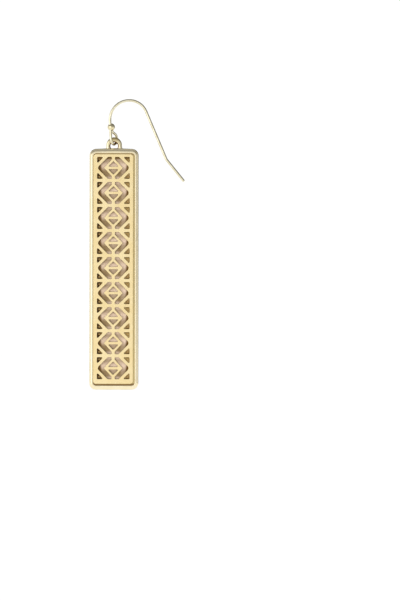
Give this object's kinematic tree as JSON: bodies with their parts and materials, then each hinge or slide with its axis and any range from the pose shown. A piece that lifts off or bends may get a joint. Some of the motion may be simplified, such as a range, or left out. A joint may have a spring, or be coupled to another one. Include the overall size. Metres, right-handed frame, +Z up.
{
  "type": "dangle earring",
  "caption": "Long slim rectangular drop earring: a domed frame holds a pierced geometric plate over a rose inlay and hangs by its eyelet from a bent ear wire with a bead.",
  "frame": {"origin": "underside of the wire at the crest of its hook, where it rests in the ear's piercing", "axes": "+Z up, +X from the loop towards the hook's tail, front towards -Y"},
  "size_m": [0.0246, 0.0033, 0.0752],
  "materials": {
    "gold_wire": "bright drawn wire with pale gold plating",
    "gold_bead": "polished pale gold plating",
    "gold_frame": "polished pale gold plating on a casting",
    "gold_plate": "fine-grained satin gold plating",
    "rose_inlay": "satin rose gold plating"
  },
  "bodies": {
    "hook": {"ear_wire": "gold_wire", "wire_bead": "gold_bead"},
    "pendant": {"frame": "gold_frame", "inlay": "rose_inlay", "pierced_plate": "gold_plate"}
  },
  "joints": [
    {"name": "pendant_swing", "type": "hinge", "parent": "hook", "child": "pendant", "pos_m": [-0.00393, 0.00119, -0.01097], "axis": [0, 1, 0], "range_deg": [-30, 30]}
  ]
}
